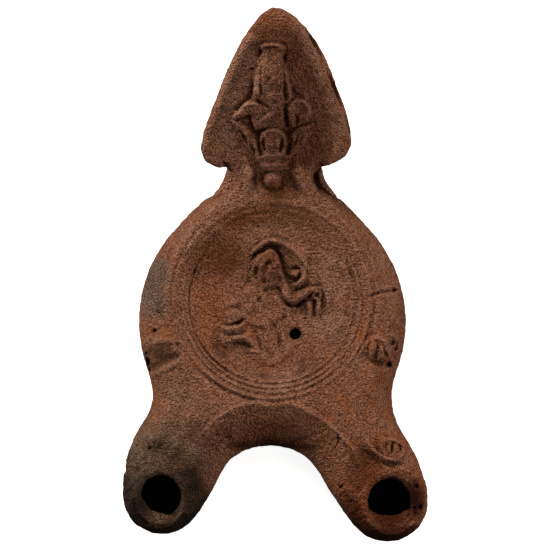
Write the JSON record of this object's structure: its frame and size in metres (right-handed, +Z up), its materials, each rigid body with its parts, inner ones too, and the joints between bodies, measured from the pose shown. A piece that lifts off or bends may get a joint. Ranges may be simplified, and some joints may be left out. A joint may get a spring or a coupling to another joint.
{
  "type": "roman oil lamp",
  "caption": "Flat-based terracotta oil lamp with spread nozzles, a sunken round discus in relief and a pierced handle under a leaning triangular shield.",
  "frame": {"origin": "centre of the flat base's underside, below the centre of the round oil chamber", "axes": "+Z up, +Y towards the tip of the handle shield, -Y towards the nozzles, +X to the right seen from above with the handle at the back"},
  "size_m": [0.1265, 0.221, 0.0776],
  "materials": {
    "terracotta": "matte"
  },
  "bodies": {
    "root": {"lower_half": "terracotta", "upper_half": "terracotta"}
  },
  "joints": []
}
